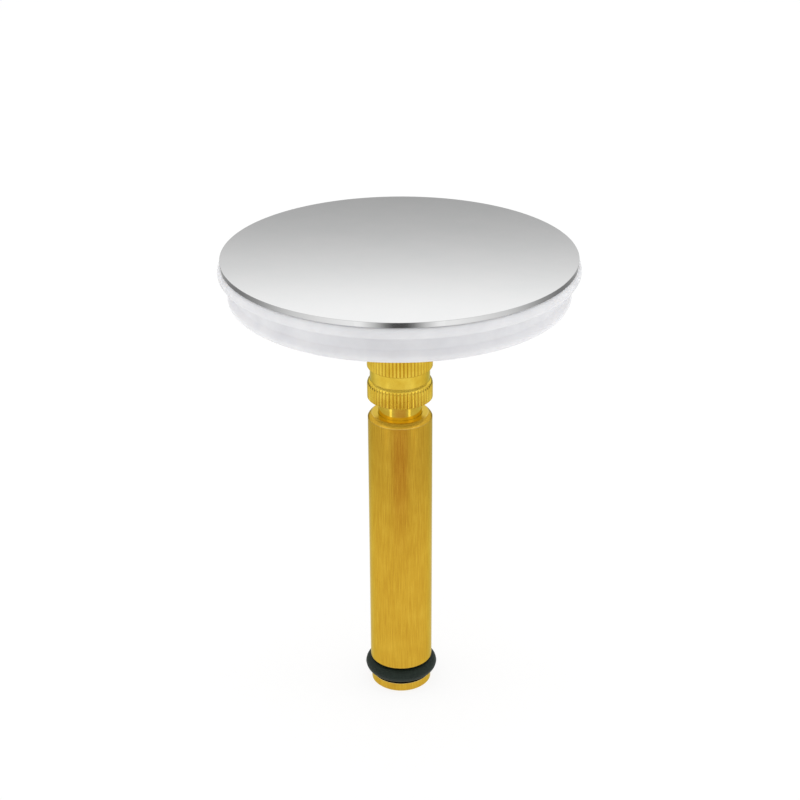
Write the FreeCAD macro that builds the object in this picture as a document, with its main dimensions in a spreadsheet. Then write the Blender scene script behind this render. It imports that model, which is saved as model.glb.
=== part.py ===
import FreeCAD, Part
import math
import os
import Sketcher

# A height-adjustable bath drain stopper, in millimetres. The axis is +Z, and the origin is the
# centre of the stem's lower end. The sizes are stacked upwards from there: stem, adjuster, stud
# and its washers and nut, seal carrier, seal and cap.

SIZES = [
    ("stem_diameter", 13.6, "stem, plain bar"),
    ("stem_length", 66.3, "stem, overall"),
    ("stem_bevel_width", 0.85, "stem, bevel of the top edge, inwards"),
    ("stem_bevel_height", 0.95, "stem, bevel of the top edge, along the axis"),
    ("stem_bevel_round", 2.2, "stem, slight round of that bevel"),
    ("tip_inset", 0.225, "stem, land below the ring groove inside the bar's surface"),
    ("tip_length", 2.1, "stem, length of that land"),
    ("tip_chamfer", 0.3, "stem, bevel round the lower end"),
    ("ring_groove_width", 4.15, "stem, ring groove along the axis"),
    ("ring_groove_depth", 2.35, "stem, ring groove from the bar's surface"),
    ("ring_cord", 3.45, "stem ring, thickness of its cord"),
    ("bore_end_room", 0.3, "stem, depth left below the neck and below the thread"),
    ("drill_point_share", 0.6, "stem, height of the drilled point per bore radius"),
    ("running_gap", 0.05, "radial play of every turning or threaded fit"),
    ("neck_step", 0.6, "adjuster, smooth neck outside the thread, each side"),
    ("neck_length", 12.5, "adjuster, neck below the grip"),
    ("thread_diameter", 8.0, "adjuster, threaded end"),
    ("thread_length", 14.0, "adjuster, length of the threaded end"),
    ("thread_end_chamfer", 0.8, "adjuster, lead-in of the thread"),
    ("grip_gap", 3.54, "adjuster, grip above the stem as shown"),
    ("grip_diameter", 13.7, "adjuster, over the knurl"),
    ("lower_band_height", 3.1, "adjuster, lower knurled band, below its round"),
    ("band_round_height", 1.2, "adjuster, round from the lower band into the groove"),
    ("grip_groove_height", 2.78, "adjuster, smooth groove above that round"),
    ("grip_groove_depth", 0.57, "adjuster, depth of that groove"),
    ("upper_band_height", 3.73, "adjuster, upper knurled band"),
    ("grip_edge_chamfer", 0.15, "adjuster, bevel along the bands' sharp edges"),
    ("flute_count", 54, "adjuster, flutes round the knurl"),
    ("flute_depth", 0.22, "adjuster, depth of a flute"),
    ("flute_width", 0.5, "adjuster, mouth of a flute"),
    ("flute_turn", 3.83, "adjuster, turn of the first flute as shown, degrees"),
    ("collar_height", 1.4, "adjuster, plain collar on top"),
    ("collar_inset", 0.85, "adjuster, that collar inside the knurl"),
    ("spigot_diameter", 8.0, "stud, spigot that the adjuster turns on"),
    ("spigot_length", 10.2, "stud, spigot below the shoulder"),
    ("spigot_chamfer", 0.4, "stud, bevel at the spigot's end"),
    ("spigot_end_room", 0.3, "adjuster, bore left below the spigot"),
    ("snap_wire", 1.0, "snap ring, wire thickness"),
    ("snap_seat_depth", 0.45, "adjuster, snap ring seat from the bore"),
    ("snap_seat_play", 0.05, "adjuster, seat beside the wire, each side"),
    ("snap_side_play", 0.2, "stud, snap groove beside the wire, each side"),
    ("snap_floor_play", 0.5, "stud, snap groove below the wire"),
    ("snap_opening", 1.5, "snap ring, gap between its ends"),
    ("thrust_gap", 0.1, "adjuster, end play under the thrust washer"),
    ("thrust_thickness", 1.0, "thrust washer, thickness"),
    ("thrust_diameter", 12.4, "thrust washer, across"),
    ("washer_play", 0.25, "radial play of a washer"),
    ("stud_diameter", 10.0, "stud, threaded shank"),
    ("flange_diameter", 18.0, "stud, flange brazed under the cap"),
    ("flange_thickness", 1.2, "stud, flange along the axis"),
    ("nut_flats", 16.0, "clamp nut, across flats"),
    ("nut_height", 5.0, "clamp nut, thickness"),
    ("nut_bevel_share", 0.95, "clamp nut, round of its end face per flats"),
    ("nut_bevel_height", 0.8, "clamp nut, height of the bevelled corners"),
    ("clamp_washer_diameter", 20.0, "clamp washer, across"),
    ("clamp_washer_thickness", 1.6, "clamp washer, thickness"),
    ("hub_diameter", 20.0, "carrier, hub"),
    ("hub_height", 9.2, "carrier, hub from the carrier's top"),
    ("hub_play", 0.1, "carrier, radial play on the stud"),
    ("carrier_disc", 2.0, "carrier, thickness of the disc"),
    ("carrier_rim_wall", 2.0, "carrier, wall of the rim"),
    ("carrier_rim_height", 5.0, "carrier, rim from the carrier's top"),
    ("rib_count", 8, "carrier, ribs"),
    ("rib_thickness", 1.6, "carrier, thickness of a rib"),
    ("rib_hub_height", 4.2, "carrier, rib at the hub, below the disc"),
    ("rib_rim_height", 2.4, "carrier, rib at the rim, below the disc"),
    ("web_thickness", 1.4, "seal, web clamped under the cap"),
    ("seal_flange_play", 0.2, "seal, radial play round the stud's flange"),
    ("seal_carrier_play", 0.1, "seal, radial play round the carrier's rim"),
    ("lip_overhang", 0.55, "seal, lip beyond the cap's edge"),
    ("lip_round", 1.34, "seal, round of the lip"),
    ("lip_edge_drop", 0.7, "seal, lip's lower edge below the lip's widest line"),
    ("lip_underside_rise", 0.5, "seal, slope of the lip's underside"),
    ("waist_inset", 2.75, "seal, drawn-in waist inside the lip"),
    ("skirt_wall", 2.1, "seal, wall at the waist"),
    ("bead_inset", 1.8, "seal, lower bead inside the lip"),
    ("bead_round", 0.91, "seal, round of the bead"),
    ("bead_shoulder", 0.9, "seal, height of the slope from the waist to the bead"),
    ("skirt_height", 7.7, "seal, from the cap to the lowest line"),
    ("cap_diameter", 72.0, "cap, across"),
    ("cap_thickness", 1.1, "cap, height of the rim"),
    ("cap_edge_round", 0.05, "cap, round of the top edge"),
    ("cap_under_chamfer", 0.05, "cap, bevel of the lower edge"),
    ("cut_overrun", 0.5, "length that a cut runs past what it cuts"),
]

# Radii and heights that follow from the sizes. Heights are measured from the stem's lower end.
DERIVED = [
    ("stem_radius", "=stem_diameter / 2"),
    ("stem_top_radius", "=stem_radius - stem_bevel_width"),
    ("stem_shoulder", "=stem_length - stem_bevel_height"),
    ("tip_radius", "=stem_radius - tip_inset"),
    ("tip_end_radius", "=tip_radius - tip_chamfer"),
    ("ring_groove_top", "=tip_length + ring_groove_width"),
    ("ring_floor_radius", "=stem_radius - ring_groove_depth"),
    ("ring_cord_radius", "=ring_cord / 2"),
    ("ring_radius", "=ring_floor_radius + ring_cord_radius"),
    ("ring_height", "=tip_length + ring_cord_radius"),
    ("thread_radius", "=thread_diameter / 2"),
    ("neck_radius", "=thread_radius + neck_step"),
    ("neck_bore_radius", "=neck_radius + running_gap"),
    ("neck_bore_floor", "=stem_length - neck_length - bore_end_room"),
    ("thread_bore_radius", "=thread_radius + running_gap"),
    ("thread_bore_floor", "=neck_bore_floor - thread_length"),
    ("drill_point", "=thread_bore_floor - thread_bore_radius * drill_point_share"),
    ("grip_bottom", "=stem_length + grip_gap"),
    ("grip_radius", "=grip_diameter / 2"),
    ("grip_edge_radius", "=grip_radius - grip_edge_chamfer"),
    ("grip_groove_radius", "=grip_radius - grip_groove_depth"),
    ("lower_band_start", "=grip_bottom + grip_edge_chamfer"),
    ("lower_band_top", "=grip_bottom + lower_band_height"),
    ("grip_groove_bottom", "=lower_band_top + band_round_height"),
    ("band_round", "=(band_round_height ^ 2 / grip_groove_depth + grip_groove_depth) / 2"),
    ("upper_band_bottom", "=grip_groove_bottom + grip_groove_height"),
    ("upper_band_start", "=upper_band_bottom + grip_edge_chamfer"),
    ("upper_band_top", "=upper_band_bottom + upper_band_height"),
    ("upper_band_end", "=upper_band_top - grip_edge_chamfer"),
    ("collar_radius", "=grip_radius - collar_inset"),
    ("adjuster_top", "=upper_band_top + collar_height"),
    ("neck_bottom", "=grip_bottom - neck_length"),
    ("thread_bottom", "=neck_bottom - thread_length"),
    ("thread_lead", "=thread_bottom + thread_end_chamfer"),
    ("thread_end_radius", "=thread_radius - thread_end_chamfer"),
    ("flute_start", "=grip_bottom - cut_overrun"),
    ("flute_length", "=upper_band_top - grip_bottom + 2 * cut_overrun"),
    ("flute_floor_radius", "=grip_radius - flute_depth"),
    ("flute_mouth_radius", "=grip_radius + flute_depth / 2"),
    ("flute_mouth_half", "=flute_width / 2 * (flute_mouth_radius - flute_floor_radius) / flute_depth"),
    ("thrust_bottom", "=adjuster_top + thrust_gap"),
    ("thrust_radius", "=thrust_diameter / 2"),
    ("stud_shoulder", "=thrust_bottom + thrust_thickness"),
    ("spigot_radius", "=spigot_diameter / 2"),
    ("spigot_bore_radius", "=spigot_radius + running_gap"),
    ("spigot_bottom", "=stud_shoulder - spigot_length"),
    ("spigot_lead", "=spigot_bottom + spigot_chamfer"),
    ("spigot_end_radius", "=spigot_radius - spigot_chamfer"),
    ("spigot_bore_floor", "=spigot_bottom - spigot_end_room"),
    ("thrust_bore_radius", "=spigot_radius + washer_play"),
    ("snap_height", "=(lower_band_top + upper_band_bottom) / 2"),
    ("snap_wire_radius", "=snap_wire / 2"),
    ("snap_seat_radius", "=spigot_bore_radius + snap_seat_depth"),
    ("snap_radius", "=snap_seat_radius - snap_wire_radius"),
    ("snap_seat_bottom", "=snap_height - snap_wire_radius - snap_seat_play"),
    ("snap_seat_top", "=snap_height + snap_wire_radius + snap_seat_play"),
    ("snap_groove_bottom", "=snap_height - snap_wire_radius - snap_side_play"),
    ("snap_groove_top", "=snap_height + snap_wire_radius + snap_side_play"),
    ("snap_floor_radius", "=snap_seat_radius - snap_wire - snap_floor_play"),
    ("stud_radius", "=stud_diameter / 2"),
    ("nut_top", "=stud_shoulder + nut_height"),
    ("nut_corner_radius", "=nut_flats / sqrt(3)"),
    ("nut_face_radius", "=nut_flats / 2 * nut_bevel_share"),
    ("nut_bore_radius", "=stud_radius + running_gap"),
    ("nut_clear_radius", "=nut_corner_radius + cut_overrun"),
    ("nut_lower_bevel", "=stud_shoulder + nut_bevel_height"),
    ("nut_upper_bevel", "=nut_top - nut_bevel_height"),
    ("clamp_washer_radius", "=clamp_washer_diameter / 2"),
    ("clamp_washer_bore", "=stud_radius + washer_play"),
    ("hub_bottom", "=nut_top + clamp_washer_thickness"),
    ("hub_radius", "=hub_diameter / 2"),
    ("hub_bore_radius", "=stud_radius + hub_play"),
    ("carrier_top", "=hub_bottom + hub_height"),
    ("cap_radius", "=cap_diameter / 2"),
    ("lip_radius", "=cap_radius + lip_overhang"),
    ("waist_radius", "=lip_radius - waist_inset"),
    ("seal_inner_radius", "=waist_radius - skirt_wall"),
    ("carrier_radius", "=seal_inner_radius - seal_carrier_play"),
    ("carrier_rim_radius", "=carrier_radius - carrier_rim_wall"),
    ("carrier_rim_bottom", "=carrier_top - carrier_rim_height"),
    ("carrier_disc_bottom", "=carrier_top - carrier_disc"),
    ("rib_root_radius", "=(hub_bore_radius + hub_radius) / 2"),
    ("rib_tip_radius", "=(carrier_rim_radius + carrier_radius) / 2"),
    ("rib_top", "=carrier_disc_bottom + carrier_disc / 2"),
    ("rib_hub_bottom", "=carrier_disc_bottom - rib_hub_height"),
    ("rib_rim_bottom", "=carrier_disc_bottom - rib_rim_height"),
    ("cap_bottom", "=carrier_top + web_thickness"),
    ("flange_radius", "=flange_diameter / 2"),
    ("flange_bottom", "=cap_bottom - flange_thickness"),
    ("seal_bore_radius", "=flange_radius + seal_flange_play"),
    ("seal_bottom", "=cap_bottom - skirt_height"),
    ("lip_crown_radius", "=lip_radius - lip_round"),
    ("lip_edge_radius", "=lip_crown_radius + sqrt(lip_round ^ 2 - lip_edge_drop ^ 2)"),
    ("lip_edge_height", "=cap_bottom - lip_round - lip_edge_drop"),
    ("waist_top", "=lip_edge_height - lip_underside_rise"),
    ("bead_nose_radius", "=lip_radius - bead_inset"),
    ("bead_crown_radius", "=bead_nose_radius - bead_round"),
    ("bead_nose_height", "=seal_bottom + bead_round"),
    ("waist_bottom", "=bead_nose_height + bead_shoulder"),
    ("cap_top", "=cap_bottom + cap_thickness"),
    ("cap_top_radius", "=cap_radius - cap_edge_round"),
    ("cap_shoulder", "=cap_top - cap_edge_round"),
    ("cap_under_radius", "=cap_radius - cap_under_chamfer"),
    ("cap_under_height", "=cap_bottom + cap_under_chamfer"),
]

doc = FreeCAD.newDocument("drain_stopper")
dims = doc.addObject("Spreadsheet::Sheet", "dims")


def fill_sheet():
    rows = [(alias, str(value), note) for alias, value, note in SIZES]
    rows += [(alias, formula, "follows from the sizes") for alias, formula in DERIVED]
    for row, (alias, content, note) in enumerate(rows, start=1):
        dims.set(f"A{row}", note)
        dims.set(f"B{row}", content)
        dims.setAlias(f"B{row}", alias)
    doc.recompute()


def size(alias):
    return 0.0 if alias is None else float(dims.get(alias))


def bind(feature, path, alias):
    feature.setExpression(path, f"dims.{alias}")


def new_body(label):
    body = doc.addObject("PartDesign::Body", label)
    body.Label = label
    return body


def origin_feature(body, role):
    return next(item for item in body.Origin.OriginFeatures if item.Role == role)


def new_sketch(body, role, label):
    sketch = body.newObject("Sketcher::SketchObject", label)
    sketch.AttachmentSupport = [(origin_feature(body, role), "")]
    sketch.MapMode = "FlatFace"
    return sketch


def hold_distance(sketch, kind, edge, alias):
    index = sketch.addConstraint(Sketcher.Constraint(kind, -1, 1, edge, 1, size(alias)))
    bind(sketch, f"Constraints[{index}]", alias)


def arc_between(start, end, radius):
    """The shorter arc that turns left from start to end."""
    chord = end - start
    half = chord.Length / 2
    to_left = FreeCAD.Vector(-chord.y, chord.x, 0).normalize()
    centre = (start + end) / 2 + to_left * math.sqrt(radius ** 2 - half ** 2)
    first = math.atan2(start.y - centre.y, start.x - centre.x)
    last = math.atan2(end.y - centre.y, end.x - centre.x)
    circle = Part.Circle(centre, FreeCAD.Vector(0, 0, 1), radius)
    return Part.ArcOfCircle(circle, first, last)


def draw_outline(sketch, corners, rounds=None):
    """Draws a closed outline, anticlockwise, and holds each corner by two cells of the sheet.

    A corner is a pair of aliases, across and up, where None is zero. rounds gives the alias of a
    radius for the edges, by the number of their first corner, that are arcs.
    """
    rounds = rounds or {}
    points = [FreeCAD.Vector(size(across), size(up), 0) for across, up in corners]
    first = sketch.GeometryCount
    for number, start in enumerate(points):
        end = points[(number + 1) % len(points)]
        if number in rounds:
            edge = arc_between(start, end, size(rounds[number]))
        else:
            edge = Part.LineSegment(start, end)
        sketch.addGeometry(edge, False)
    for number, (across, up) in enumerate(corners):
        edge = first + number
        following = first + (number + 1) % len(corners)
        sketch.addConstraint(Sketcher.Constraint("Coincident", edge, 2, following, 1))
        if across is None:
            sketch.addConstraint(Sketcher.Constraint("PointOnObject", edge, 1, -2))
        else:
            hold_distance(sketch, "DistanceX", edge, across)
        if up is None:
            sketch.addConstraint(Sketcher.Constraint("PointOnObject", edge, 1, -1))
        else:
            hold_distance(sketch, "DistanceY", edge, up)
        if number in rounds:
            radius = rounds[number]
            index = sketch.addConstraint(Sketcher.Constraint("Radius", edge, size(radius)))
            bind(sketch, f"Constraints[{index}]", radius)


def revolve(body, kind, label, outlines):
    """Adds or cuts a full turn of one or more outlines in the XZ plane."""
    sketch = new_sketch(body, "XZ_Plane", f"{label}_profile")
    for corners, rounds in outlines:
        draw_outline(sketch, corners, rounds)
    feature = body.newObject(f"PartDesign::{kind}", label)
    feature.Profile = sketch
    feature.ReferenceAxis = (sketch, ["V_Axis"])
    feature.Angle = 360.0
    doc.recompute()
    return feature


def repeat_round(body, feature, label, count):
    pattern = body.newObject("PartDesign::PolarPattern", label)
    pattern.Originals = [feature]
    pattern.Axis = (origin_feature(body, "Z_Axis"), [""])
    pattern.Angle = 360.0
    bind(pattern, "Occurrences", count)
    body.Tip = pattern
    doc.recompute()
    return pattern


def turned_piece(label, corners, rounds=None):
    body = new_body(label)
    revolve(body, "Revolution", f"{label}_turned", [(corners, rounds)])
    return body


def ring_corners(inner, outer, bottom, top):
    return [(inner, bottom), (outer, bottom), (outer, top), (inner, top)]


def make_stem():
    corners = [
        (None, None),
        ("tip_end_radius", None),
        ("tip_radius", "tip_chamfer"),
        ("tip_radius", "tip_length"),
        ("ring_floor_radius", "tip_length"),
        ("ring_floor_radius", "ring_groove_top"),
        ("stem_radius", "ring_groove_top"),
        ("stem_radius", "stem_shoulder"),
        ("stem_top_radius", "stem_length"),
        ("neck_bore_radius", "stem_length"),
        ("neck_bore_radius", "neck_bore_floor"),
        ("thread_bore_radius", "neck_bore_floor"),
        ("thread_bore_radius", "thread_bore_floor"),
        (None, "drill_point"),
    ]
    return turned_piece("stem", corners, {7: "stem_bevel_round"})


def make_stem_ring():
    ring = doc.addObject("Part::Torus", "stem_o_ring")
    ring.Label = "stem_o_ring"
    bind(ring, "Radius1", "ring_radius")
    bind(ring, "Radius2", "ring_cord_radius")
    bind(ring, "Placement.Base.z", "ring_height")
    return ring


def make_adjuster():
    """Turned spindle with a bore for the stud's spigot, then the flutes of the knurl."""
    corners = [
        (None, "thread_bottom"),
        ("thread_end_radius", "thread_bottom"),
        ("thread_radius", "thread_lead"),
        ("thread_radius", "neck_bottom"),
        ("neck_radius", "neck_bottom"),
        ("neck_radius", "grip_bottom"),
        ("grip_edge_radius", "grip_bottom"),
        ("grip_radius", "lower_band_start"),
        ("grip_radius", "lower_band_top"),
        ("grip_groove_radius", "grip_groove_bottom"),
        ("grip_groove_radius", "upper_band_bottom"),
        ("grip_edge_radius", "upper_band_bottom"),
        ("grip_radius", "upper_band_start"),
        ("grip_radius", "upper_band_end"),
        ("grip_edge_radius", "upper_band_top"),
        ("collar_radius", "upper_band_top"),
        ("collar_radius", "adjuster_top"),
        ("spigot_bore_radius", "adjuster_top"),
        ("spigot_bore_radius", "snap_seat_top"),
        ("snap_seat_radius", "snap_seat_top"),
        ("snap_seat_radius", "snap_seat_bottom"),
        ("spigot_bore_radius", "snap_seat_bottom"),
        ("spigot_bore_radius", "spigot_bore_floor"),
        (None, "spigot_bore_floor"),
    ]
    body = turned_piece("adjuster", corners, {8: "band_round"})
    plain_volume = body.Shape.Volume
    sketch = new_sketch(body, "XY_Plane", "flute_section")
    first_flute = FreeCAD.Rotation(FreeCAD.Vector(0, 0, 1), size("flute_turn"))
    sketch.AttachmentOffset = FreeCAD.Placement(FreeCAD.Vector(), first_flute)
    bind(sketch, "AttachmentOffset.Base.z", "flute_start")
    bind(sketch, "AttachmentOffset.Rotation.Angle", "flute_turn")
    floor, mouth = size("flute_floor_radius"), size("flute_mouth_radius")
    half = size("flute_mouth_half")
    points = [FreeCAD.Vector(floor, 0, 0), FreeCAD.Vector(mouth, -half, 0), FreeCAD.Vector(mouth, half, 0)]
    for number, start in enumerate(points):
        sketch.addGeometry(Part.LineSegment(start, points[(number + 1) % len(points)]), False)
    for edge, following in ((0, 1), (1, 2), (2, 0)):
        sketch.addConstraint(Sketcher.Constraint("Coincident", edge, 2, following, 1))
    sketch.addConstraint(Sketcher.Constraint("PointOnObject", 0, 1, -1))
    sketch.addConstraint(Sketcher.Constraint("Symmetric", 1, 1, 2, 1, -1))
    hold_distance(sketch, "DistanceX", 0, "flute_floor_radius")
    hold_distance(sketch, "DistanceX", 2, "flute_mouth_radius")
    hold_distance(sketch, "DistanceY", 2, "flute_mouth_half")
    flute = body.newObject("PartDesign::Pocket", "flute")
    flute.Profile = sketch
    flute.Reversed = True
    bind(flute, "Length", "flute_length")
    doc.recompute()
    repeat_round(body, flute, "knurl", "flute_count")
    if body.Shape.Volume >= plain_volume:
        raise RuntimeError("the flutes cut nothing")
    return body


def make_snap_ring():
    wire = doc.addObject("Part::Torus", "snap_wire_turn")
    bind(wire, "Radius1", "snap_radius")
    bind(wire, "Radius2", "snap_wire_radius")
    opening = doc.addObject("Part::Box", "snap_opening_cut")
    bind(opening, "Length", "grip_radius")
    bind(opening, "Width", "snap_opening")
    bind(opening, "Height", "snap_wire")
    opening.setExpression("Placement.Base.y", "-dims.snap_opening / 2")
    opening.setExpression("Placement.Base.z", "-dims.snap_wire / 2")
    ring = doc.addObject("Part::Cut", "snap_ring")
    ring.Label = "snap_ring"
    ring.Base = wire
    ring.Tool = opening
    bind(ring, "Placement.Base.z", "snap_height")
    return ring


def make_thrust_washer():
    corners = ring_corners("thrust_bore_radius", "thrust_radius", "thrust_bottom", "stud_shoulder")
    return turned_piece("thrust_washer", corners)


def make_cap_stud():
    return turned_piece("cap_stud", [
        (None, "spigot_bottom"),
        ("spigot_end_radius", "spigot_bottom"),
        ("spigot_radius", "spigot_lead"),
        ("spigot_radius", "snap_groove_bottom"),
        ("snap_floor_radius", "snap_groove_bottom"),
        ("snap_floor_radius", "snap_groove_top"),
        ("spigot_radius", "snap_groove_top"),
        ("spigot_radius", "stud_shoulder"),
        ("stud_radius", "stud_shoulder"),
        ("stud_radius", "flange_bottom"),
        ("flange_radius", "flange_bottom"),
        ("flange_radius", "cap_bottom"),
        (None, "cap_bottom"),
    ])


def make_clamp_nut():
    """Hexagon prism, then one turned cut for the bore and the bevelled corners."""
    body = new_body("clamp_nut")
    prism = body.newObject("PartDesign::AdditivePrism", "nut_hexagon")
    prism.AttachmentSupport = [(origin_feature(body, "XY_Plane"), "")]
    prism.MapMode = "FlatFace"
    prism.Polygon = 6
    bind(prism, "AttachmentOffset.Base.z", "stud_shoulder")
    bind(prism, "Circumradius", "nut_corner_radius")
    bind(prism, "Height", "nut_height")
    doc.recompute()
    plain_volume = body.Shape.Volume
    bore = [
        (None, "stud_shoulder"),
        ("nut_bore_radius", "stud_shoulder"),
        ("nut_bore_radius", "nut_top"),
        (None, "nut_top"),
    ]
    lower = [
        ("nut_face_radius", "stud_shoulder"),
        ("nut_clear_radius", "stud_shoulder"),
        ("nut_clear_radius", "nut_lower_bevel"),
    ]
    upper = [
        ("nut_face_radius", "nut_top"),
        ("nut_clear_radius", "nut_upper_bevel"),
        ("nut_clear_radius", "nut_top"),
    ]
    revolve(body, "Groove", "nut_bore_and_bevels", [(bore, None), (lower, None), (upper, None)])
    if body.Shape.Volume >= plain_volume:
        raise RuntimeError("the nut's bore cut nothing")
    return body


def make_clamp_washer():
    corners = ring_corners("clamp_washer_bore", "clamp_washer_radius", "nut_top", "hub_bottom")
    return turned_piece("clamp_washer", corners)


def make_seal_carrier():
    """Disc with a hub and a rim, then ribs from hub to rim."""
    body = turned_piece("seal_carrier", [
        ("hub_bore_radius", "hub_bottom"),
        ("hub_radius", "hub_bottom"),
        ("hub_radius", "carrier_disc_bottom"),
        ("carrier_rim_radius", "carrier_disc_bottom"),
        ("carrier_rim_radius", "carrier_rim_bottom"),
        ("carrier_radius", "carrier_rim_bottom"),
        ("carrier_radius", "carrier_top"),
        ("hub_bore_radius", "carrier_top"),
    ])
    sketch = new_sketch(body, "XZ_Plane", "rib_outline")
    half_step = FreeCAD.Rotation(FreeCAD.Vector(0, 1, 0), 180 / size("rib_count"))
    sketch.AttachmentOffset = FreeCAD.Placement(FreeCAD.Vector(), half_step)
    sketch.setExpression("AttachmentOffset.Rotation.Angle", "180 / dims.rib_count")
    draw_outline(sketch, [
        ("rib_root_radius", "rib_hub_bottom"),
        ("rib_tip_radius", "rib_rim_bottom"),
        ("rib_tip_radius", "rib_top"),
        ("rib_root_radius", "rib_top"),
    ])
    rib = body.newObject("PartDesign::Pad", "rib")
    rib.Profile = sketch
    rib.Midplane = True
    bind(rib, "Length", "rib_thickness")
    doc.recompute()
    repeat_round(body, rib, "ribs", "rib_count")
    return body


def make_seal():
    """Cup with a flat web, a round lip, a waist and a round bead along its lower edge."""
    corners = [
        ("seal_inner_radius", "seal_bottom"),
        ("bead_crown_radius", "seal_bottom"),
        ("bead_nose_radius", "bead_nose_height"),
        ("waist_radius", "waist_bottom"),
        ("waist_radius", "waist_top"),
        ("lip_edge_radius", "lip_edge_height"),
        ("lip_crown_radius", "cap_bottom"),
        ("seal_bore_radius", "cap_bottom"),
        ("seal_bore_radius", "carrier_top"),
        ("seal_inner_radius", "carrier_top"),
    ]
    return turned_piece("seal", corners, {1: "bead_round", 5: "lip_round"})


def make_cap_plate():
    corners = [
        (None, "cap_bottom"),
        ("cap_under_radius", "cap_bottom"),
        ("cap_radius", "cap_under_height"),
        ("cap_radius", "cap_shoulder"),
        ("cap_top_radius", "cap_top"),
        (None, "cap_top"),
    ]
    return turned_piece("cap_plate", corners, {3: "cap_edge_round"})


def check_built(pieces):
    for item in doc.Objects:
        if {"Invalid", "Error"} & set(item.State):
            raise RuntimeError(f"{item.Label} failed: {item.State}")
    for piece in pieces:
        shape = piece.Shape
        if shape.isNull() or not shape.isValid() or len(shape.Solids) != 1:
            raise RuntimeError(f"{piece.Label} is not one valid solid")


def write_pieces(pieces):
    os.makedirs("parts", exist_ok=True)
    for piece in pieces:
        piece.Shape.exportStep(os.path.join("parts", f"{piece.Label}.step"))
        box = piece.Shape.BoundBox
        print(f"{piece.Label}: {piece.Shape.Volume:.1f} mm3, z {box.ZMin:.2f} to {box.ZMax:.2f}")


fill_sheet()
pieces = [
    make_stem(),
    make_stem_ring(),
    make_adjuster(),
    make_snap_ring(),
    make_thrust_washer(),
    make_cap_stud(),
    make_clamp_nut(),
    make_clamp_washer(),
    make_seal_carrier(),
    make_seal(),
    make_cap_plate(),
]
doc.recompute()
check_built(pieces)
write_pieces(pieces)
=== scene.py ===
# %% [markdown]
# # A bath drain stopper
# The stopper has a mirror-chrome cap, a milky silicone seal under it, a brass adjuster with two
# knurled bands, and a brass stem with a black rubber ring. The CAD model gives every rigid piece in
# its true shape and place, so this lesson dresses those pieces with materials. Only the two soft
# pieces, the seal and the rubber ring, are modelled again, because rubber has rounder edges and
# moulding marks that a plain solid leaves out.

# %% Load the frame
import math

import bpy
from mathutils import Matrix, Vector


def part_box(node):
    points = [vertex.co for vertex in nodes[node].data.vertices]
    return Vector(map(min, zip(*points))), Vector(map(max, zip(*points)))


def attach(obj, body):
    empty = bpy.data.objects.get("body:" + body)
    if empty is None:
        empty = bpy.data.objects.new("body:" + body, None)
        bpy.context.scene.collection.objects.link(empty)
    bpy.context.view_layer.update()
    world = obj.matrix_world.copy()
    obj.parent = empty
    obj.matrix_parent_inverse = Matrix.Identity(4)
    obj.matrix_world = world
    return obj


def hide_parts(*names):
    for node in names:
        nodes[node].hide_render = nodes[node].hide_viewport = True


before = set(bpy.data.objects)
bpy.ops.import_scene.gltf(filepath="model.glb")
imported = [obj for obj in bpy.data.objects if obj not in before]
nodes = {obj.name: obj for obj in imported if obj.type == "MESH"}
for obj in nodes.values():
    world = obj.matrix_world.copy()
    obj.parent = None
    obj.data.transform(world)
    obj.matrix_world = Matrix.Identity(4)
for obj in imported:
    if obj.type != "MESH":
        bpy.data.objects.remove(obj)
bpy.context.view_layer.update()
MM = 0.001
print("CAD nodes:", ", ".join(sorted(nodes)))

# %% [markdown]
# ## Colours and nodes
# A colour on a screen is written in sRGB, while the shader works in linear light, so one function
# turns a hex value into linear. Another adds a node with its settings and links in one line, which
# keeps the material cells short enough to read. A Mix node has sockets of the same name for each
# kind of value, so they are given by number: 2 and 3 take numbers, 6 and 7 take colours.


# %% Helpers for colours and nodes
def linear(hex_colour):
    channels = [int(hex_colour[i:i + 2], 16) / 255 for i in (1, 3, 5)]
    curve = [c / 12.92 if c <= 0.04045 else ((c + 0.055) / 1.055) ** 2.4 for c in channels]
    return (*curve, 1.0)


def add_node(tree, kind, settings=None, inputs=None):
    node = tree.nodes.new(kind)
    for name, value in (settings or {}).items():
        setattr(node, name, value)
    for socket, value in (inputs or {}).items():
        if isinstance(value, bpy.types.NodeSocket):
            tree.links.new(value, node.inputs[socket])
        else:
            node.inputs[socket].default_value = value
    return node


def new_material(name):
    material = bpy.data.materials.new(name)
    material.use_nodes = True
    tree = material.node_tree
    return material, tree, tree.nodes["Principled BSDF"]


def set_ramp(node, stops):
    """Gives a colour ramp its stops, as pairs of a place and a hex colour or a grey level."""
    elements = node.color_ramp.elements
    elements.remove(elements[1])
    for number, (place, colour) in enumerate(stops):
        element = elements.new(place) if number else elements[0]
        element.position = place
        element.color = linear(colour) if isinstance(colour, str) else (colour, colour, colour, 1.0)


print("brass yellow in linear light:", [round(c, 3) for c in linear("#D6B23A")[:3]])

# %% [markdown]
# ## Drawn brass for the stem
# The stem is cut from drawn brass bar. The die leaves fine scratches along the bar, so the surface
# shows streaks that run up and down, and it blurs reflections sideways. Noise that is squeezed
# round the bar and stretched along it draws the streaks. The real ones are about 0.05 mm wide, too
# fine for the picture, so they are drawn about 0.25 mm wide. The top is faced on a lathe, which
# leaves it paler and smoother, and the surface's own normal tells where it looks up. The edges are
# painted brighter, a painted highlight: a Bevel node finds them, because its rounded normal leaves
# the true one there. At a grazing angle brass turns pale, which the shader's specular tint gives.


# %% Drawn brass
BRASS_LIMB = "#E8ECC3"


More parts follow.
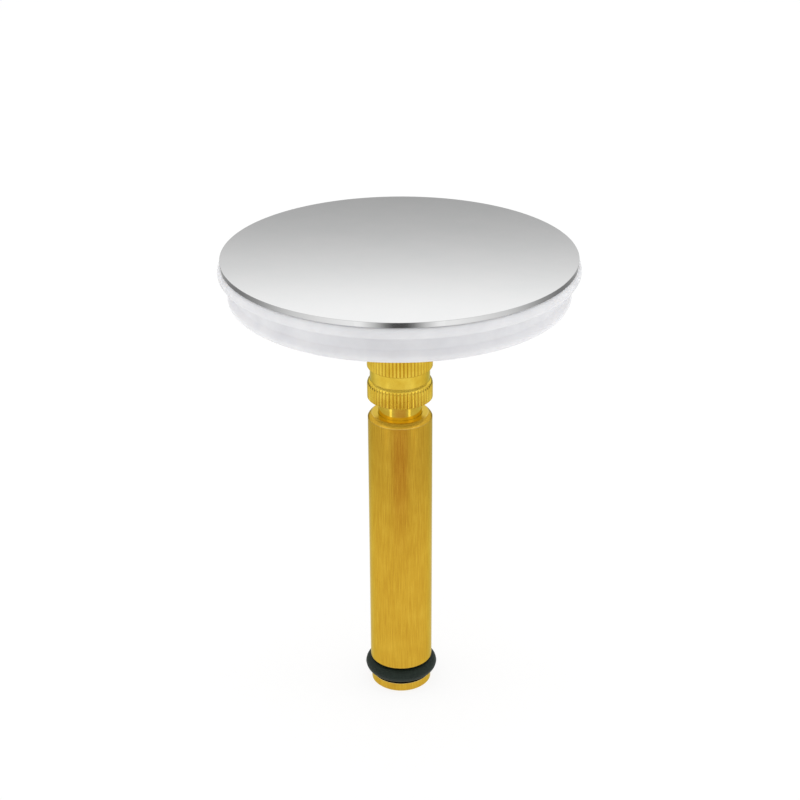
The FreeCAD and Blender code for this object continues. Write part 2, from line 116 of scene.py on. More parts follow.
def drawn_brass():
    material, tree, shader = new_material("drawn_brass")
    coordinates = add_node(tree, "ShaderNodeTexCoord").outputs
    streak_width, streak_length, streak_depth = 0.25 * MM, 5 * MM, 0.02 * MM
    across, along = 1 / streak_width, 1 / streak_length
    stretch = add_node(tree, "ShaderNodeMapping", None,
                       {"Vector": coordinates["Object"], "Scale": (across, across, along)})
    streaks = add_node(tree, "ShaderNodeTexNoise", None, {
        "Vector": stretch.outputs["Vector"], "Scale": 1.0, "Detail": 3.0,
        "Roughness": 0.6}).outputs["Fac"]
    cloud_size, cloud_share = 6 * MM, 0.3
    clouds = add_node(tree, "ShaderNodeTexNoise", None,
                      {"Vector": coordinates["Object"], "Scale": 1 / cloud_size, "Detail": 2.0})
    tone = add_node(tree, "ShaderNodeMix", {"data_type": "FLOAT"},
                    {0: cloud_share, 2: streaks, 3: clouds.outputs["Fac"]})
    colour = add_node(tree, "ShaderNodeValToRGB", None, {"Fac": tone.outputs[0]})
    set_ramp(colour, [(0.3, "#C1932C"), (0.5, "#CEA333"), (0.7, "#DAB23F")])
    rough = add_node(tree, "ShaderNodeMapRange", None, {"Value": streaks, "To Min": 0.18, "To Max": 0.3})

    upward = add_node(tree, "ShaderNodeSeparateXYZ", None, {"Vector": coordinates["Normal"]}).outputs["Z"]
    faced = add_node(tree, "ShaderNodeMapRange", None,
                     {"Value": upward, "From Min": 0.96, "From Max": 0.99}).outputs["Result"]
    faced_colour = add_node(tree, "ShaderNodeMix", {"data_type": "RGBA"},
                            {0: faced, 6: colour.outputs["Color"], 7: linear("#DCB84F")})
    faced_rough = add_node(tree, "ShaderNodeMix", {"data_type": "FLOAT"},
                           {0: faced, 2: rough.outputs["Result"], 3: 0.15})

    edge_round = 0.15 * MM
    rounded = add_node(tree, "ShaderNodeBevel", {"samples": 8}, {"Radius": edge_round}).outputs["Normal"]
    true_normal = add_node(tree, "ShaderNodeNewGeometry").outputs["Normal"]
    flatness = add_node(tree, "ShaderNodeVectorMath", {"operation": "DOT_PRODUCT"},
                        {0: rounded, 1: true_normal})
    # Painted highlight: where the Bevel normal leaves the true normal, the edge colour is painted
    # brighter.
    edge_highlight = add_node(tree, "ShaderNodeMapRange", None, {
        "Value": flatness.outputs["Value"], "From Min": 0.998, "From Max": 0.96, "To Max": 0.8})
    edge_highlight_colour = add_node(tree, "ShaderNodeMix", {"data_type": "RGBA"}, {
        0: edge_highlight.outputs["Result"], 6: faced_colour.outputs[2], 7: linear("#FBE9AE")})
    bump = add_node(tree, "ShaderNodeBump", None, {
        "Height": streaks, "Strength": 0.08, "Distance": streak_depth, "Normal": rounded})
    around = add_node(tree, "ShaderNodeTangent", {"direction_type": "RADIAL", "axis": "Z"})
    tree.links.new(edge_highlight_colour.outputs[2], shader.inputs["Base Color"])
    tree.links.new(faced_rough.outputs[0], shader.inputs["Roughness"])
    tree.links.new(bump.outputs["Normal"], shader.inputs["Normal"])
    tree.links.new(around.outputs["Tangent"], shader.inputs["Tangent"])
    shader.inputs["Metallic"].default_value = 1.0
    shader.inputs["Specular Tint"].default_value = linear(BRASS_LIMB)
    shader.inputs["Anisotropic"].default_value = 0.4
    return material


drawn = drawn_brass()
print("material:", drawn.name)

# %% [markdown]
# ## Turned brass for the adjuster, stud and nut
# These pieces come off a lathe. The tool leaves fine rings, so a highlight stretches across the
# rings, up and down the neck. The rings are noise over radius and height alone, and the shader is
# anisotropic with its long axis across them. A real feed mark is about 0.1 mm wide, too fine to
# show, so it is drawn 0.2 mm wide. The valleys of the knurl, which an Ambient Occlusion node finds,
# are painted darker: partly painted shade, partly tarnish. A Bevel node rounds the knurl's sharp
# ridges a little, as hands do.


# %% Turned brass
def turned_brass():
    material, tree, shader = new_material("turned_brass")
    place = add_node(tree, "ShaderNodeTexCoord").outputs["Object"]
    axes = add_node(tree, "ShaderNodeSeparateXYZ", None, {"Vector": place}).outputs
    flat = add_node(tree, "ShaderNodeCombineXYZ", None, {"X": axes["X"], "Y": axes["Y"]})
    radius = add_node(tree, "ShaderNodeVectorMath", {"operation": "LENGTH"}, {0: flat.outputs["Vector"]})
    profile = add_node(tree, "ShaderNodeCombineXYZ", None, {"X": radius.outputs["Value"], "Z": axes["Z"]})
    feed_mark, feed_depth = 0.2 * MM, 0.02 * MM
    rings = add_node(tree, "ShaderNodeTexNoise", None, {
        "Vector": profile.outputs["Vector"], "Scale": 1 / feed_mark, "Detail": 2.0}).outputs["Fac"]
    rough = add_node(tree, "ShaderNodeMapRange", None, {"Value": rings, "To Min": 0.06, "To Max": 0.14})
    cloud_size = 3 * MM
    clouds = add_node(tree, "ShaderNodeTexNoise", None,
                      {"Vector": place, "Scale": 1 / cloud_size, "Detail": 2.0})
    colour = add_node(tree, "ShaderNodeValToRGB", None, {"Fac": clouds.outputs["Fac"]})
    set_ramp(colour, [(0.35, "#D7B238"), (0.65, "#E5C54C")])

    valley_reach, edge_round = 0.35 * MM, 0.2 * MM
    # Painted shade and tarnish: the colour is darkened where the Ambient Occlusion node finds a valley.
    open_share = add_node(tree, "ShaderNodeAmbientOcclusion", {"samples": 8, "only_local": True},
                          {"Distance": valley_reach})
    valley = add_node(tree, "ShaderNodeMapRange", None,
                      {"Value": open_share.outputs["AO"], "From Min": 0.95, "From Max": 0.6})
    tarnish_and_shade = add_node(tree, "ShaderNodeMix", {"data_type": "RGBA"}, {
        0: valley.outputs["Result"], 6: colour.outputs["Color"], 7: linear("#C9A030")})
    rounded = add_node(tree, "ShaderNodeBevel", {"samples": 8}, {"Radius": edge_round})
    bump = add_node(tree, "ShaderNodeBump", None, {
        "Height": rings, "Strength": 0.06, "Distance": feed_depth, "Normal": rounded.outputs["Normal"]})
    around = add_node(tree, "ShaderNodeTangent", {"direction_type": "RADIAL", "axis": "Z"})
    tree.links.new(tarnish_and_shade.outputs[2], shader.inputs["Base Color"])
    tree.links.new(rough.outputs["Result"], shader.inputs["Roughness"])
    tree.links.new(bump.outputs["Normal"], shader.inputs["Normal"])
    tree.links.new(around.outputs["Tangent"], shader.inputs["Tangent"])
    shader.inputs["Metallic"].default_value = 1.0
    shader.inputs["Specular Tint"].default_value = linear(BRASS_LIMB)
    shader.inputs["Anisotropic"].default_value = 0.3
    shader.inputs["Anisotropic Rotation"].default_value = 0.25
    return material


turned = turned_brass()
print("material:", turned.name)

# %% [markdown]
# ## Chrome plate for the cap
# The cap is polished brass with a thin bright chrome plate. It is a near mirror, so almost all that
# the eye sees is the studio. The roughness is very low and varies a little, as wiping leaves it.


# %% Chrome plate
def chrome_plate():
    material, tree, shader = new_material("polished_chrome_plate")
    place = add_node(tree, "ShaderNodeTexCoord").outputs["Object"]
    wipe_size = 7 * MM
    wipes = add_node(tree, "ShaderNodeTexNoise", None, {
        "Vector": place, "Scale": 1 / wipe_size, "Detail": 4.0, "Roughness": 0.6}).outputs["Fac"]
    rough = add_node(tree, "ShaderNodeMapRange", None, {"Value": wipes, "To Min": 0.035, "To Max": 0.06})
    colour = add_node(tree, "ShaderNodeValToRGB", None, {"Fac": wipes})
    set_ramp(colour, [(0.3, "#F2F3F3"), (0.7, "#F5F5F5")])
    tree.links.new(colour.outputs["Color"], shader.inputs["Base Color"])
    tree.links.new(rough.outputs["Result"], shader.inputs["Roughness"])
    shader.inputs["Metallic"].default_value = 1.0
    return material


chrome = chrome_plate()
print("material:", chrome.name)

# %% [markdown]
# ## Silicone for the seal
# Moulded silicone rubber without pigment is milky: light enters it, scatters and leaves again some
# millimetres away. Subsurface scattering gives that softness, the refractive index is silicone's
# 1.41, and a faint cloud of tone keeps it from looking like paint.


# %% Silicone
def milky_silicone():
    material, tree, shader = new_material("milky_silicone")
    place = add_node(tree, "ShaderNodeTexCoord").outputs["Object"]
    cloud_size, light_reach = 5 * MM, 2.5 * MM
    clouds = add_node(tree, "ShaderNodeTexNoise", None, {
        "Vector": place, "Scale": 1 / cloud_size, "Detail": 3.0, "Roughness": 0.55}).outputs["Fac"]
    colour = add_node(tree, "ShaderNodeValToRGB", None, {"Fac": clouds})
    set_ramp(colour, [(0.3, "#E5E5E8"), (0.7, "#EEEEF0")])
    rough = add_node(tree, "ShaderNodeMapRange", None, {"Value": clouds, "To Min": 0.32, "To Max": 0.46})
    tree.links.new(colour.outputs["Color"], shader.inputs["Base Color"])
    tree.links.new(rough.outputs["Result"], shader.inputs["Roughness"])
    shader.inputs["IOR"].default_value = 1.41
    shader.inputs["Subsurface Weight"].default_value = 0.5
    shader.inputs["Subsurface Radius"].default_value = (1.0, 0.95, 0.9)
    shader.inputs["Subsurface Scale"].default_value = light_reach
    return material


silicone = milky_silicone()
print("material:", silicone.name)

# %% [markdown]
# ## Rubber for the stem's ring
# Nitrile rubber is black with a slightly grey-green bloom and a dull skin. Noise in the tone and a
# shallow bump stand for the grain of the mould, drawn coarser than it is, so that it shows.


# %% Nitrile rubber
def nitrile_rubber():
    material, tree, shader = new_material("nitrile_rubber")
    place = add_node(tree, "ShaderNodeTexCoord").outputs["Object"]
    grain_size, grain_depth = 0.35 * MM, 0.03 * MM
    grain = add_node(tree, "ShaderNodeTexNoise", None, {
        "Vector": place, "Scale": 1 / grain_size, "Detail": 3.0}).outputs["Fac"]
    colour = add_node(tree, "ShaderNodeValToRGB", None, {"Fac": grain})
    set_ramp(colour, [(0.3, "#131E19"), (0.7, "#222F27")])
    bump = add_node(tree, "ShaderNodeBump", None,
                    {"Height": grain, "Strength": 0.2, "Distance": grain_depth})
    tree.links.new(colour.outputs["Color"], shader.inputs["Base Color"])
    tree.links.new(bump.outputs["Normal"], shader.inputs["Normal"])
    shader.inputs["Roughness"].default_value = 0.6
    shader.inputs["IOR"].default_value = 1.52
    shader.inputs["Specular IOR Level"].default_value = 0.25
    return material


rubber = nitrile_rubber()
print("material:", rubber.name)

# %% [markdown]
# ## Steel and white plastic for the hidden pieces
# Under the cap sit a stainless washer and snap ring, and mouldings in white acetal. They show only
# from below and from the side. The steel has the fine lines of rolled sheet, and the plastic a
# slight mould grain. Both are drawn coarser than they are, so that they show.


# %% Stainless steel and acetal
def rolled_stainless():
    material, tree, shader = new_material("rolled_stainless_steel")
    place = add_node(tree, "ShaderNodeTexCoord").outputs["Object"]
    line_width, line_length = 0.15 * MM, 6 * MM
    stretch = add_node(tree, "ShaderNodeMapping", None,
                       {"Vector": place, "Scale": (1 / line_length, 1 / line_width, 1 / line_width)})
    lines = add_node(tree, "ShaderNodeTexNoise", None, {
        "Vector": stretch.outputs["Vector"], "Scale": 1.0, "Detail": 2.0}).outputs["Fac"]
    colour = add_node(tree, "ShaderNodeValToRGB", None, {"Fac": lines})
    set_ramp(colour, [(0.3, "#BDBDBA"), (0.7, "#CFCFCC")])
    rough = add_node(tree, "ShaderNodeMapRange", None, {"Value": lines, "To Min": 0.25, "To Max": 0.4})
    tree.links.new(colour.outputs["Color"], shader.inputs["Base Color"])
    tree.links.new(rough.outputs["Result"], shader.inputs["Roughness"])
    shader.inputs["Metallic"].default_value = 1.0
    return material


def moulded_acetal():
    material, tree, shader = new_material("moulded_white_acetal")
    place = add_node(tree, "ShaderNodeTexCoord").outputs["Object"]
    grain_size, grain_depth = 0.5 * MM, 0.03 * MM
    grain = add_node(tree, "ShaderNodeTexNoise", None, {
        "Vector": place, "Scale": 1 / grain_size, "Detail": 2.0}).outputs["Fac"]
    colour = add_node(tree, "ShaderNodeValToRGB", None, {"Fac": grain})
    set_ramp(colour, [(0.3, "#E4E4E0"), (0.7, "#EBEBE7")])
    bump = add_node(tree, "ShaderNodeBump", None,
                    {"Height": grain, "Strength": 0.1, "Distance": grain_depth})
    tree.links.new(colour.outputs["Color"], shader.inputs["Base Color"])
    tree.links.new(bump.outputs["Normal"], shader.inputs["Normal"])
    shader.inputs["Roughness"].default_value = 0.45
    shader.inputs["IOR"].default_value = 1.48
    return material


steel = rolled_stainless()
acetal = moulded_acetal()
print("materials:", steel.name, acetal.name)

# %% [markdown]
# ## Dress the rigid pieces
# The rigid pieces already have their true shape from the CAD model, so none of them is modelled
# again. Each node keeps its mesh and gets its finish in its own material slot.

# %% Assign the finishes
finishes = {
    "stem": drawn,
    "adjuster": turned,
    "cap_stud": turned,
    "clamp_nut": turned,
    "cap_plate": chrome,
    "clamp_washer": steel,
    "snap_ring": steel,
    "thrust_washer": acetal,
    "seal_carrier": acetal,
}
for name, material in finishes.items():
    for slot in nodes[name].material_slots:
        slot.material = material
print("dressed:", ", ".join(finishes))

# %% [markdown]
# ## Turning a profile
# The seal is round, so it can be made as on a potter's wheel: a circle is drawn at the profile's
# first corner, then its edge is extruded and resized from corner to corner, and the last ring is
# bridged back to the first. Spin would do the same from a drawn line, but rings keep the corners in
# order and are easy to count.


# %% A ring-by-ring lathe
def arc(centre, radius, start, end, steps):
    """Corners along an arc in the profile, from one angle in degrees to another."""
    angles = [math.radians(start + (end - start) * i / steps) for i in range(steps + 1)]
    return [(centre[0] + radius * math.cos(a), centre[1] + radius * math.sin(a)) for a in angles]


def turn_profile(name, corners, segments):
    bpy.ops.object.select_all(action="DESELECT")
    radius, height = corners[0]
    bpy.ops.mesh.primitive_circle_add(
        vertices=segments, radius=radius * MM, location=(0, 0, height * MM))
    piece = bpy.context.object
    piece.name = piece.data.name = name
    bpy.ops.object.transform_apply(location=True, rotation=True, scale=True)
    bpy.ops.object.mode_set(mode="EDIT")
    bpy.ops.mesh.select_all(action="SELECT")
    for next_radius, next_height in corners[1:]:
        rise = (next_height - height) * MM
        bpy.ops.mesh.extrude_edges_move(TRANSFORM_OT_translate={"value": (0, 0, rise)})
        share = next_radius / radius
        bpy.ops.transform.resize(value=(share, share, 1), center_override=(0, 0, next_height * MM))
        radius, height = next_radius, next_height
    bpy.ops.mesh.select_all(action="DESELECT")
    bpy.ops.mesh.select_non_manifold()
    bpy.ops.mesh.bridge_edge_loops()
    bpy.ops.mesh.select_all(action="SELECT")
    bpy.ops.mesh.normals_make_consistent(inside=False)
    bpy.ops.object.mode_set(mode="OBJECT")
    bpy.ops.object.shade_smooth_by_angle(angle=math.radians(40))
    return piece


print("a quarter round in four steps has", len(arc((0, 0), 1, 0, 90, 4)), "corners")

# %% [markdown]
# ## The silicone seal
# A cup of silicone is clamped between the cap and its carrier. It has a round lip a little wider
# than the cap, a drawn-in waist, and a round bead along its lower edge. The inner corners get the
# small fillets that a mould needs. All sizes are in millimetres, and the outermost ones come from
# the box of the CAD seal.

# %% Measure the seal
seal_low, seal_high = (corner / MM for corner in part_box("seal"))
top, bottom, lip_radius = seal_high.z, seal_low.z, seal_high.x
inner, bore, waist_depth, web, bead_inset = 31.7, 9.2, 2.75, 1.4, 1.8
lip_round, bead_round, hook_round = 1.34, 0.91, 0.22
fillet, fillet_bulge = 0.5, 0.15
foot_round, foot_bulge, bore_round = 0.3, 0.09, 0.2
waist_rise, waist_drop = 2.52, 1.6
hook_out, hook_drop = 0.95, 0.55
web_under = top - web
waist_fillet = lip_radius - waist_depth + fillet
lip_centre = (lip_radius - lip_round, top - lip_round)
hook_centre = (lip_centre[0] + hook_out, lip_centre[1] - hook_drop)
bead_centre = (lip_radius - bead_inset - bead_round, bottom + bead_round)
print("seal height:", round(top - bottom, 2), "mm, lip radius:", round(lip_radius, 2), "mm")

# %% Model the seal
seal_corners = [(inner, bottom + foot_round), (inner + foot_bulge, bottom + foot_bulge),
                (inner + foot_round, bottom)]
seal_corners += arc(bead_centre, bead_round, start=-90, end=48, steps=14)
seal_corners += arc((waist_fillet, bottom + waist_rise), fillet, start=222, end=180, steps=5)
seal_corners += arc((waist_fillet, web_under - waist_drop), fillet, start=180, end=105, steps=6)
seal_corners += arc(hook_centre, hook_round, start=-80, end=-30, steps=4)
seal_corners += arc(lip_centre, lip_round, start=-20, end=90, steps=14)
seal_corners += [(bore + bore_round, top), (bore, top - bore_round), (bore, web_under)]
seal_corners += [(inner - fillet, web_under), (inner - fillet_bulge, web_under - fillet_bulge),
                 (inner, web_under - fillet)]
seal = turn_profile("silicone_seal", seal_corners, segments=192)
seal.data.materials.append(silicone)
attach(seal, "cap_body")
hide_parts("seal")
print("seal:", len(seal.data.polygons), "faces,", [round(v / MM, 2) for v in seal.dimensions])

# %% [markdown]
# ## The rubber ring
# An O-ring is moulded in two halves, and a thin line of flash stays where they met. It starts as a
# torus. Stretched over the stem, its cord is a little lower than it is wide, so it is squeezed
# along the stem, and it sits a little above the lower land of its groove. The rows of corners on
# its outer equator are then pushed out for the flash.

# %% Model the ring
ring_low, ring_high = (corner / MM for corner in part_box("stem_o_ring"))
cord = ring_high.z - ring_low.z
ring_lift, squeeze_share, skin_share = 0.32, 0.89, 0.985
ring_middle = (0, 0, ((ring_low.z + ring_high.z) / 2 + ring_lift) * MM)
bpy.ops.object.select_all(action="DESELECT")
bpy.ops.mesh.primitive_torus_add(
    major_segments=128, minor_segments=40, major_radius=(ring_high.x - cord / 2) * MM,
    minor_radius=cord / 2 * skin_share * MM, location=ring_middle)
ring = bpy.context.object
ring.name = ring.data.name = "rubber_ring"
bpy.ops.object.transform_apply(location=True, rotation=True, scale=True)
bpy.ops.object.mode_set(mode="EDIT")
bpy.ops.transform.resize(value=(1, 1, squeeze_share), center_override=ring_middle)
bpy.ops.mesh.select_all(action="DESELECT")
bpy.ops.object.mode_set(mode="OBJECT")
print("ring:", len(ring.data.polygons), "faces,", [round(v / MM, 2) for v in ring.dimensions])

# %% Add the flash
flash_depth, flash_height_share = 0.06, 0.35
flash_from = (ring_high.x - flash_depth) * MM
for vertex in ring.data.vertices:
    vertex.select = vertex.co.xy.length > flash_from
bpy.ops.object.mode_set(mode="EDIT")
bpy.ops.mesh.select_mode(type="VERT")
flash_share = ring_high.x / (ring_high.x - cord / 2 * (1 - skin_share))
bpy.ops.transform.resize(
    value=(flash_share, flash_share, flash_height_share), center_override=ring_middle)
bpy.ops.object.mode_set(mode="OBJECT")
bpy.ops.object.shade_smooth()
ring.data.materials.append(rubber)
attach(ring, "stem_body")
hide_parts("stem_o_ring")
print("ring with flash:", [round(v / MM, 2) for v in ring.dimensions])

# %% [markdown]
# ## The floor and the white background
# The stopper stands on a white sweep. For the camera, and for reflections, the floor glows almost
# to white and keeps a share of real light, so a soft shadow still falls on it. For all other light
# it is a sheet of white paper with a faint glow of its own, which brightens the seal and the rubber
# ring from below, as a bright sweep does. Seen from below the floor is clear, so that the underside
# can be looked at.


# %% Floor
def glow_material(name):
    """A material without nodes yet, whose glow is seen but is not sampled as a lamp."""
    material = bpy.data.materials.new(name)
    material.use_nodes = True
    material.node_tree.nodes.clear()
    material.cycles.emission_sampling = "NONE"
    return material, material.node_tree


def white_sweep():
    material, tree = glow_material("white_sweep")
    path = add_node(tree, "ShaderNodeLightPath").outputs
    seen = add_node(tree, "ShaderNodeMath", {"operation": "MAXIMUM"},
                    {0: path["Is Camera Ray"], 1: path["Is Glossy Ray"]})
    seen = add_node(tree, "ShaderNodeMath", {"operation": "MAXIMUM"},
                    {0: seen.outputs[0], 1: path["Is Transmission Ray"]})
    sheet = add_node(tree, "ShaderNodeBsdfDiffuse", None, {"Color": linear("#EEEEEE")})
    lit = add_node(tree, "ShaderNodeEmission", None, {"Strength": 0.1})
    paper = add_node(tree, "ShaderNodeAddShader", None, {0: sheet.outputs[0], 1: lit.outputs[0]})
    shade = add_node(tree, "ShaderNodeBsdfDiffuse", None, {"Color": (0.2, 0.2, 0.2, 1)})
    glow = add_node(tree, "ShaderNodeEmission", None, {"Strength": 0.83})
    shown = add_node(tree, "ShaderNodeAddShader", None, {0: shade.outputs[0], 1: glow.outputs[0]})
    front = add_node(tree, "ShaderNodeMixShader", None,
                     {0: seen.outputs[0], 1: paper.outputs[0], 2: shown.outputs[0]})
    clear = add_node(tree, "ShaderNodeBsdfTransparent")
    below = add_node(tree, "ShaderNodeNewGeometry").outputs["Backfacing"]
    both = add_node(tree, "ShaderNodeMixShader", None,
                    {0: below, 1: front.outputs[0], 2: clear.outputs[0]})
    add_node(tree, "ShaderNodeOutputMaterial", None, {"Surface": both.outputs[0]})
    return material


floor_radius, floor_drop = 3.0, 0.05 * MM
bpy.ops.object.select_all(action="DESELECT")
bpy.ops.mesh.primitive_circle_add(
    vertices=96, radius=floor_radius, fill_type="NGON", location=(0, 0, -floor_drop))
floor = bpy.context.object
floor.name = "floor"
floor.data.materials.append(white_sweep())
print("floor:", round(floor.dimensions.x, 2), "m across")

# %% [markdown]
# ## The studio that the metal mirrors
# A mirror shows the room, and a flat mirror shows only a small part of it. Here the room is a light
# tent. The camera sees it white, dull surfaces get an even white light from it, and reflections see
# its walls. A ramp over the height of the direction paints them: the back wall goes from grey to
# white over a few degrees, which draws the soft grade across the cap. The other walls and the
# ceiling are a quieter grey, so that the cap also looks like metal from other sides.


# %% World
BACK_WALL = [(0.0, 0.7), (0.1, 0.45), (0.2, 0.31), (0.27, 0.31), (0.3178, 0.405), (0.3358, 0.52),
             (0.3537, 0.7), (0.3715, 0.91), (0.3804, 0.98), (0.4, 1.0), (0.7, 0.95), (1.0, 0.45)]
SIDE_WALL = [(0.0, 0.7), (0.1, 0.45), (0.2, 0.34), (0.3, 0.37), (0.42, 0.5), (0.55, 0.74),
             (0.7, 0.64), (1.0, 0.45)]


def light_tent():
    world = bpy.data.worlds.new("light_tent")
    bpy.context.scene.world = world
    world.use_nodes = True
    tree = world.node_tree
    tree.nodes.clear()
    path = add_node(tree, "ShaderNodeLightPath").outputs
    direction = add_node(tree, "ShaderNodeTexCoord").outputs["Generated"]
    axes = add_node(tree, "ShaderNodeSeparateXYZ", None, {"Vector": direction}).outputs
    back = add_node(tree, "ShaderNodeValToRGB", None, {"Fac": axes["Z"]})
    set_ramp(back, BACK_WALL)
    side = add_node(tree, "ShaderNodeValToRGB", None, {"Fac": axes["Z"]})
    set_ramp(side, SIDE_WALL)
    depth = add_node(tree, "ShaderNodeMapRange", {"interpolation_type": "SMOOTHSTEP"},
                     {"Value": axes["Y"], "From Min": 0.6, "From Max": 0.85})
    room = add_node(tree, "ShaderNodeMix", {"data_type": "RGBA"},
                    {0: depth.outputs["Result"], 6: side.outputs["Color"], 7: back.outputs["Color"]})
    mirrored = add_node(tree, "ShaderNodeBackground", None, {"Color": room.outputs[2], "Strength": 1.0})
    white = add_node(tree, "ShaderNodeBackground", None, {"Color": (1, 1, 1, 1), "Strength": 1.0})
    fill = add_node(tree, "ShaderNodeBackground", None, {"Color": (1, 1, 1, 1), "Strength": 0.85})
    seen = add_node(tree, "ShaderNodeMath", {"operation": "MAXIMUM"},
                    {0: path["Is Camera Ray"], 1: path["Is Transmission Ray"]})
    shown = add_node(tree, "ShaderNodeMixShader", None,
                     {0: path["Is Glossy Ray"], 1: fill.outputs[0], 2: mirrored.outputs[0]})
    whole = add_node(tree, "ShaderNodeMixShader", None,
                     {0: seen.outputs[0], 1: shown.outputs[0], 2: white.outputs[0]})
    add_node(tree, "ShaderNodeOutputWorld", None, {"Surface": whole.outputs[0]})


light_tent()
print("world:", bpy.context.scene.world.name)

# %% [markdown]
# ## Cards that only reflections see
# Round metal gathers the room into narrow strips, so what stands in the room draws its form.
# A photographer puts white and dark cards round it. These cards show in reflections and nowhere
# else, and they light nothing. The first is the dark slot that the lens looks through: the cap's
# thin rim mirrors it, black in the middle and pale towards the sides.

# %% The lens slot
HIDDEN_FROM = ("visible_camera", "visible_diffuse", "visible_shadow", "visible_transmission",
               "visible_volume_scatter")


def only_mirrored(card):
    for kind_of_ray in HIDDEN_FROM:
        setattr(card, kind_of_ray, False)


def lens_slot(half_width):
    material, tree = glow_material("lens_slot")
    place = add_node(tree, "ShaderNodeTexCoord").outputs["Object"]
    across = add_node(tree, "ShaderNodeSeparateXYZ", None, {"Vector": place}).outputs["X"]
    away = add_node(tree, "ShaderNodeMath", {"operation": "ABSOLUTE"}, {0: across})
    share = add_node(tree, "ShaderNodeMath", {"operation": "DIVIDE"}, {0: away.outputs[0], 1: half_width})
    ramp = add_node(tree, "ShaderNodeValToRGB", None, {"Fac": share.outputs[0]})
    set_ramp(ramp, [(0.0, 0.07), (0.14, 0.08), (0.28, 0.2), (0.53, 0.55), (0.83, 0.88), (1.0, 0.92)])
    glow = add_node(tree, "ShaderNodeEmission", None, {"Color": ramp.outputs["Color"], "Strength": 1.0})
    add_node(tree, "ShaderNodeOutputMaterial", None, {"Surface": glow.outputs[0]})
    return material


slot_width, slot_height = 200 * MM, 24 * MM
slot_place = (0, -205 * MM, 28 * MM)
bpy.ops.object.select_all(action="DESELECT")
bpy.ops.mesh.primitive_plane_add(size=1, location=(0, 0, 0))
slot_card = bpy.context.object
slot_card.name = "lens_card"
bpy.ops.transform.resize(value=(slot_width, slot_height, 1))
bpy.ops.object.transform_apply(scale=True)
slot_card.rotation_euler = (math.radians(90), 0, 0)
slot_card.location = slot_place
slot_card.data.materials.append(lens_slot(slot_width / 2))
only_mirrored(slot_card)
print("card:", slot_card.name, [round(v / MM) for v in slot_card.dimensions], "mm")

# %% [markdown]
# ## Rings on the floor
# The lens looks down on the stopper, so each upright brass wall mirrors the floor: the stem sees a
# near ring of it, the neck a thin one farther out, the knurl the next, and the cap's rim all beyond.
# A ring's glow changes with the angle from the front, because a wall that faces sideways mirrors
# what lies at twice that angle. The neck's ring has a bright strip at each side, and the two strips
# draw the two lines on the neck.


# %% Ring cards
def angle_glow(name, stops, strength, fade=(0, 1)):
    """A glow over the angle from the front, in degrees, that sets in between two distances in mm."""
    material, tree = glow_material(name)
    place = add_node(tree, "ShaderNodeTexCoord").outputs["Object"]
    axes = add_node(tree, "ShaderNodeSeparateXYZ", None, {"Vector": place}).outputs
    side = add_node(tree, "ShaderNodeMath", {"operation": "ABSOLUTE"}, {0: axes["X"]})
    ahead = add_node(tree, "ShaderNodeMath", {"operation": "MULTIPLY"}, {0: axes["Y"], 1: -1.0})
    angle = add_node(tree, "ShaderNodeMath", {"operation": "ARCTAN2"},
                     {0: side.outputs[0], 1: ahead.outputs[0]})
    half_turns = add_node(tree, "ShaderNodeMath", {"operation": "DIVIDE"},
                          {0: angle.outputs[0], 1: math.pi})
    ramp = add_node(tree, "ShaderNodeValToRGB", None, {"Fac": half_turns.outputs[0]})
    set_ramp(ramp, [(degrees / 180, colour) for degrees, colour in stops])
    distance = add_node(tree, "ShaderNodeVectorMath", {"operation": "LENGTH"}, {0: place})
    near, far = fade
    share = add_node(tree, "ShaderNodeMapRange", {"interpolation_type": "SMOOTHSTEP"}, {
        "Value": distance.outputs["Value"], "From Min": near * MM, "From Max": far * MM})
    colour = add_node(tree, "ShaderNodeMix", {"data_type": "RGBA"},
                      {0: share.outputs["Result"], 6: (1, 1, 1, 1), 7: ramp.outputs["Color"]})
    glow = add_node(tree, "ShaderNodeEmission", None, {"Color": colour.outputs[2], "Strength": strength})
    add_node(tree, "ShaderNodeOutputMaterial", None, {"Surface": glow.outputs[0]})
    return material


def ring_card(name, inner, outer, material):
    height_over_floor = 0.5 * MM
    bpy.ops.object.select_all(action="DESELECT")
    bpy.ops.mesh.primitive_circle_add(vertices=96, radius=inner * MM, location=(0, 0, height_over_floor))
    card = bpy.context.object
    card.name = name
    bpy.ops.object.mode_set(mode="EDIT")
    bpy.ops.mesh.select_all(action="SELECT")
    bpy.ops.mesh.extrude_edges_move()
    bpy.ops.transform.resize(value=(outer / inner, outer / inner, 1))
    bpy.ops.object.mode_set(mode="OBJECT")
    card.data.materials.append(material)
    only_mirrored(card)
    print("card:", card.name, "from", inner, "to", outer, "mm")


# %% Lay the rings
stem_reach, neck_reach, grip_reach, floor_reach = 138.5, 152, 200, 2900
ring_card("stem_ring", 55, stem_reach, angle_glow("stem_ring", [
    (0, "#D0AFAA"), (14, "#D0AFAA"), (36, 0.78), (180, 0.8)], strength=1.0, fade=(60, 118)))
ring_card("neck_ring", stem_reach, neck_reach, angle_glow("neck_ring", [
    (0, "#8B736B"), (26, "#8B736B"), (42, 0.3), (45, 0.9), (53, 0.9), (58, 0.34), (180, 0.34)],
    strength=2.0))
ring_card("grip_ring", neck_reach, grip_reach, angle_glow("grip_ring", [
    (0, 1.0), (80, 1.0), (109, 0.85), (126, 0.7), (180, 0.7)], strength=1.0))
ring_card("tent_ring", grip_reach, floor_reach, angle_glow("tent_ring", [
    (0, 0.9), (32, 0.86), (65, 0.64), (95, 0.3), (112, 0.2), (122, 0.2), (136, 0.26), (152, 0.38),
    (180, 0.62)], strength=1.0))

# %% [markdown]
# ## Bands round the neck
# The bevel on the stem's top and the flat ring round the neck's foot look up, so they mirror what
# stands round them and not the floor. Two upright bands, open above and below, give them a pale
# wall. Both stay lower than the cap, so its flat top never mirrors them.


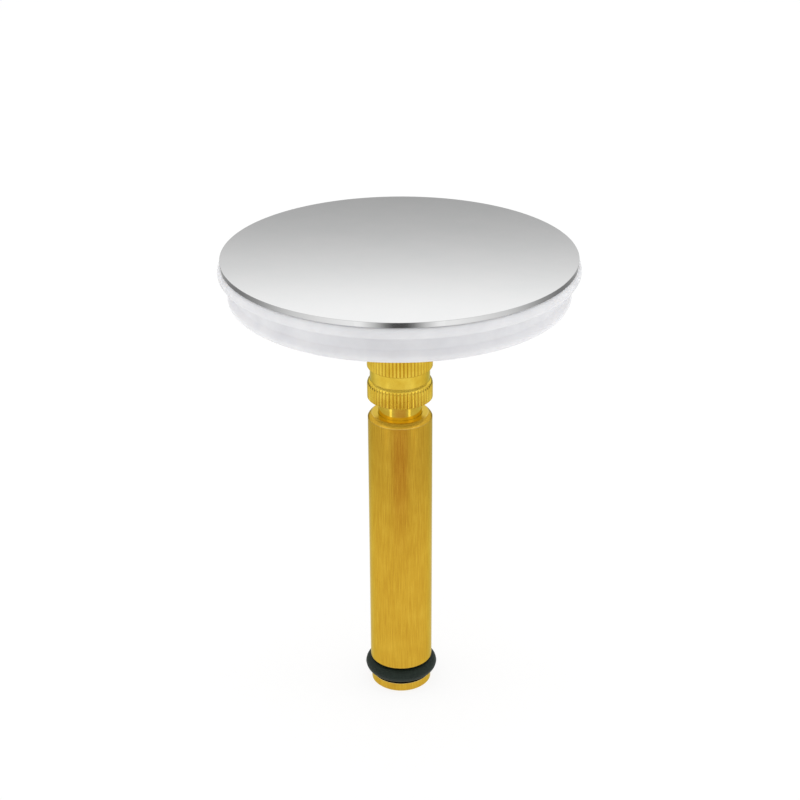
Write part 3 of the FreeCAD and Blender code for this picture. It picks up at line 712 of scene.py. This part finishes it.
# %% Band cards
def band_card(name, radius, low, high, material):
    bpy.ops.object.select_all(action="DESELECT")
    bpy.ops.mesh.primitive_cylinder_add(
        vertices=96, radius=radius * MM, depth=(high - low) * MM, end_fill_type="NOTHING",
        location=(0, 0, (low + high) / 2 * MM))
    card = bpy.context.object
    card.name = name
    card.data.materials.append(material)
    only_mirrored(card)
    print("card:", card.name, "from", low, "to", high, "mm above the floor")


band_stops = [(0, 0.8), (36, 0.8), (42, 1.0), (62, 1.0), (72, 0.75), (180, 0.75)]
for name, radius, low, high in (("shoulder_band", 110, 72, 89), ("neck_band", 40, 74, 91)):
    band_card(name, radius, low, high, angle_glow(name, band_stops, strength=1.3))

# %% [markdown]
# ## Lamps
# The tent spreads most of the light. One soft box hangs overhead and gives the floor its faint
# shadow, and one at each side lights the seal's wall under the cap. Metal mirrors the cards and the
# tent, and not the lamps.


# %% Lamps
def soft_box(name, place, aim, width, watts):
    data = bpy.data.lights.new(name, "AREA")
    data.shape = "SQUARE"
    data.size, data.energy = width, watts
    lamp = bpy.data.objects.new(name, data)
    bpy.context.scene.collection.objects.link(lamp)
    lamp.location = place
    direction = Vector(aim) - lamp.location
    lamp.rotation_euler = direction.to_track_quat("-Z", "Y").to_euler()
    lamp.visible_glossy = False
    print("lamp:", name, watts, "W")


seal_middle = (0, 0, 90 * MM)
soft_box("soft_box", place=(0, 0, 0.8), aim=(0, 0, 0), width=0.6, watts=0.35)
soft_box("left_box", place=(-0.6, 0, 0.12), aim=seal_middle, width=0.3, watts=0.5)
soft_box("right_box", place=(0.6, 0, 0.12), aim=seal_middle, width=0.3, watts=0.62)

# %% [markdown]
# ## Camera
# The picture is taken from a little above, with a lens of about 75 mm on a full-frame sensor. The
# values come from fitting the ellipses of the cap, the knurl, the stem and the ring.

# %% Camera
camera_data = bpy.data.cameras.new("camera")
camera_data.lens, camera_data.sensor_width = 74.78, 36.0
camera_data.clip_start = 10 * MM
camera = bpy.data.objects.new("camera", camera_data)
bpy.context.scene.collection.objects.link(camera)
camera.location = (-0.01 * MM, -313.8 * MM, 217.85 * MM)
look_down, lean = math.radians(25.391), math.radians(-0.27)
pitch = math.radians(90) - look_down
camera.rotation_euler = (Matrix.Rotation(pitch, 3, "X") @ Matrix.Rotation(lean, 3, "Z")).to_euler()
bpy.context.scene.camera = camera
bpy.context.scene.view_settings.view_transform = "Standard"
print("camera:", [round(v / MM, 1) for v in camera.location])
